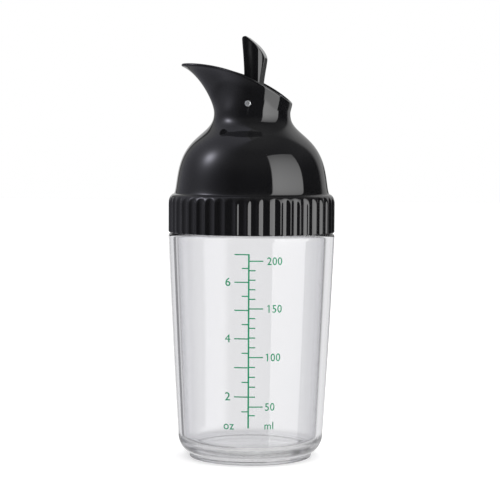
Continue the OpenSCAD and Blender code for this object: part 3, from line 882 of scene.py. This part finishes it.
def floor():
    material, add, shader = finish_of("pale_floor")[:3]
    add.feed(shader, {"Base Color": (0.93, 0.93, 0.93, 1.0), "Roughness": 0.9, "Specular IOR Level": 0.1,
                      "Emission Color": (1.0, 1.0, 1.0, 1.0), "Emission Strength": 0.25})
    mesh = bpy.data.meshes.new("floor")
    mesh.from_pydata([(-3, -3, 0), (3, -3, 0), (3, 3, 0), (-3, 3, 0)], [], [(0, 1, 2, 3)])
    mesh.materials.append(material)
    obj = bpy.data.objects.new("floor", mesh)
    bpy.context.scene.collection.objects.link(obj)
    obj.visible_glossy = obj.visible_transmission = False


def panel(name, place, target, width, height, radiance):
    """A lamp that faces the target and lights it, while its mirror image is left to the surroundings."""
    lamp = bpy.data.lights.new(name, "AREA")
    lamp.shape, lamp.size, lamp.size_y = "RECTANGLE", width, height
    lamp.energy = radiance * pi * width * height
    obj = bpy.data.objects.new(name, lamp)
    bpy.context.scene.collection.objects.link(obj)
    obj.location = place
    obj.rotation_euler = (Vector(place) - Vector(target)).to_track_quat("Z", "Y").to_euler()
    obj.visible_camera = obj.visible_transmission = obj.visible_glossy = False


# Places on an upright card are shares of its distance. Directions are degrees round from the front, and up.
SOFTBOX = dict(turn=50.0, left=-0.20, right=0.90, low=-0.13, high=1.18)
STAND = dict(turn=50.0, left=-0.25, right=0.75, low=-0.7, high=-0.13)
# each lamp's direction, its width in degrees and its strength
LAMPS = ((-77.0, 35.0, 16.0, 1.3), (-77.0, 35.0, 8.0, 4.4), (-6.64, 4.0, 1.6, 0.5))


def card(add, way, turn, left, right, low, high, soft=0.02):
    """Where a direction meets an upright card that faces the cup: its mask, and the place on it."""
    x, y, z = way
    ahead = (sin(radians(turn)), -cos(radians(turn)))
    near = add.plus(add.times(x, ahead[0]), add.times(y, ahead[1]))
    side = add.plus(add.times(x, -ahead[1]), add.times(y, ahead[0]))
    safe = add.math("MAXIMUM", near, 0.05)
    across, up = add.math("DIVIDE", side, safe), add.math("DIVIDE", z, safe)
    mask = add.math("GREATER_THAN", near, 0.05)
    for place, low_edge, high_edge in ((across, left, right), (up, low, high)):
        mask = add.times(mask, add.ranged(place, low_edge - soft, low_edge + soft),
                         add.ranged(place, high_edge - soft, high_edge + soft, 1.0, 0.0))
    return mask, across, up


def glow(add, way, turn, rise, wide, strength):
    """A soft round lamp in one direction, which fades out over an angle in degrees."""
    turn, rise = radians(turn), radians(rise)
    centre = (sin(turn) * cos(rise), -cos(turn) * cos(rise), sin(rise))
    facing = add("ShaderNodeVectorMath", {0: add.vector(*way), 1: centre}, operation="DOT_PRODUCT")
    fall = add.times(add.minus(facing.outputs["Value"], 1.0), 2.0 / radians(wide) ** 2)
    return add.times(add.math("EXPONENT", fall), strength)


def strip(add, turn, middle, flat, wide, level):
    """An upright strip of the backdrop, darker or brighter than the rest: 1 beside it, its level within."""
    return add.ranged(add.math("ABSOLUTE", add.minus(turn, middle)), flat, wide, level, 1.0)


def dark_slot(add, way):
    """A dark slot high at the back with curved edges, which shows as a bar in the hollow of the neck."""
    x, y, z = way
    off = add.plus(x, 0.1)
    bend = add.times(off, off, add.ranged(off, -0.02, 0.02, 1.88, 1.05))
    return add.times(add.ranged(add.minus(y, bend), 0.089, 0.097, 0.0, 0.75), add.ranged(x, -0.485, -0.45),
                     add.ranged(x, 0.13, 0.18, 1.0, 0.0), add.ranged(z, 0.6, 0.7))


def mirrored_studio(add, way, turn, rise):
    """What the gloss mirrors: dark walls, a tall softbox on its stand, lamps, a grey wall and a backdrop."""
    box, across, up = card(add, way, **SOFTBOX)
    box = add.times(box, add.ranged(up, 0.1, 1.05, 4.4, 1.6, "LINEAR"),
                    add.ranged(across, 0.0, 1.0, 1.0, 0.68, "LINEAR"))
    stand = add.times(card(add, way, **STAND)[0], add.ranged(up, -0.5, -0.13, 1.2, 3.2, "LINEAR"))
    wall = add.times(add.ranged(turn, -15.0, -80.0, 0.0, 0.30), add.ranged(turn, -148.5, -145.5))
    left_drop = add.times(add.ranged(turn, -150.5, -153.5, 0.0, 0.75), add.ranged(rise, 45.0, 55.0, 1.0, 0.1),
                          add.ranged(turn, -165.0, -175.0, 1.0, 0.65))
    shade = add.times(add.ranged(turn, 160.0, 167.0), add.ranged(turn, 175.0, 178.5, 1.0, 0.0),
                      add.ranged(add.math("ABSOLUTE", add.plus(rise, 2.0)), 4.5, 7.5, 0.9, 0.0))
    right_drop = add.times(add.ranged(turn, 134.0, 146.0, 0.0, 0.5), add.ranged(rise, 35.0, 55.0, 1.0, 0.3),
                           add.minus(1.0, shade))
    ceiling = add.plus(add.ranged(rise, 12.0, 40.0, 0.0, 0.12), add.ranged(rise, 55.0, 80.0, 0.0, 0.10))
    ground = add.ranged(rise, -8.0, -24.0, 0.0, 0.2)
    lamps = [glow(add, way, *lamp) for lamp in LAMPS]
    dark_walls = 0.03
    total = add.plus(dark_walls, box, stand, wall, left_drop, right_drop, ceiling, ground, *lamps)
    return add.times(total, add.minus(1.0, dark_slot(add, way)))


def seen_through(add, turn, rise, depth):
    """What comes through the clear walls: a backdrop that darkens with the height. It is darker beside the
    cup for light that has run along inside a wall, and even for light that was mirrored more often."""
    backdrop = add.times(add.ranged(rise, 2.0, 34.0, 0.93, 0.38), add.ranged(rise, -12.0, -30.0, 1.0, 0.8),
                         strip(add, turn, -169.2, 1.2, 2.4, 1.13))
    aside = add.ranged(add.math("ABSOLUTE", turn), 118.0, 140.0, 0.02, 1.0)
    along_wall = add.times(backdrop, aside, strip(add, turn, -139.0, 3.0, 6.5, 0.2),
                           strip(add, turn, 132.0, 5.0, 16.0, 0.1))
    along_wall = add.mix(add.math("GREATER_THAN", depth, 2.5), along_wall, 0.86)
    return add.mix(add.math("GREATER_THAN", depth, 0.5), backdrop, along_wall)


def surroundings():
    """White all round for the eye and for light. The cup's gloss and its clear walls each see more."""
    world = bpy.data.worlds.new("studio")
    bpy.context.scene.world = world
    world.use_nodes = True
    add = Nodes(world.node_tree)
    way = add.parts(add("ShaderNodeTexCoord").outputs["Generated"])
    ray = add("ShaderNodeLightPath").outputs
    turn = add.math("DEGREES", add.math("ARCTAN2", way[0], add.times(way[1], -1.0)))
    rise = add.math("DEGREES", add.math("ARCSINE", way[2]))
    seen = add.mix(ray["Is Transmission Ray"], 1.0, seen_through(add, turn, rise, ray["Glossy Depth"]))
    mirrored = add.times(ray["Is Glossy Ray"], add.minus(1.0, ray["Is Transmission Ray"]))
    strength = add.mix(mirrored, seen, mirrored_studio(add, way, turn, rise))
    # what the gloss mirrors on the left is a little cooler than the rest
    cool = add.times(mirrored, add.ranged(turn, 0.0, -60.0), add.ranged(turn, -125.0, -148.0, 1.0, 0.0))
    colour = add("ShaderNodeMix", {"Factor": cool, 6: (1.0, 1.0, 1.0, 1.0), 7: (0.95, 0.95, 1.08, 1.0)},
                 data_type="RGBA").outputs[2]
    lit = add("ShaderNodeBackground", {"Color": colour, "Strength": strength}).outputs[0]
    add.feed(world.node_tree.nodes["World Output"], {"Surface": lit})


def camera():
    """The photograph's view: 6.55 degrees round from the front, almost level."""
    yaw, roll, away, height, aim_z, aim_right = radians(6.55), radians(0.34), 731.0, 128.6, 84.0, -0.54
    focal_pixels, picture_pixels, sensor_w = 1804.0, 500.0, 36.0
    place = Vector((sin(yaw) * away, -cos(yaw) * away, height))
    aim = Vector((0, 0, aim_z)) + aim_right * Vector((cos(yaw), sin(yaw), 0))
    back = (place - aim).normalized()
    right = Vector((0, 0, 1)).cross(back).normalized()
    up = back.cross(right)
    right, up = cos(roll) * right + sin(roll) * up, cos(roll) * up - sin(roll) * right
    lens = bpy.data.cameras.new("camera")
    lens.sensor_width, lens.lens = sensor_w, focal_pixels / picture_pixels * sensor_w
    lens.clip_start, lens.clip_end = 0.05, 20.0
    obj = bpy.data.objects.new("camera", lens)
    bpy.context.scene.collection.objects.link(obj)
    turn = Matrix((right, up, back)).transposed().to_4x4()
    obj.matrix_world = Matrix.Translation(place * MM) @ turn
    bpy.context.scene.camera = obj


floor()
surroundings()
panel("softbox_right", place=(0.59, -0.23, 0.42), target=(0.0, 0.0, 0.14), width=0.66, height=0.82,
      radiance=0.6)
panel("overhead", place=(0.0, 0.1, 1.2), target=(0.0, 0.0, 0.0), width=1.2, height=1.2, radiance=0.8)
camera()
bpy.context.scene.view_settings.view_transform = "Standard"
# light runs along inside the clear heel and foot by many inner reflections
cycles = bpy.context.scene.cycles
cycles.max_bounces = cycles.glossy_bounces = cycles.transmission_bounces = 20
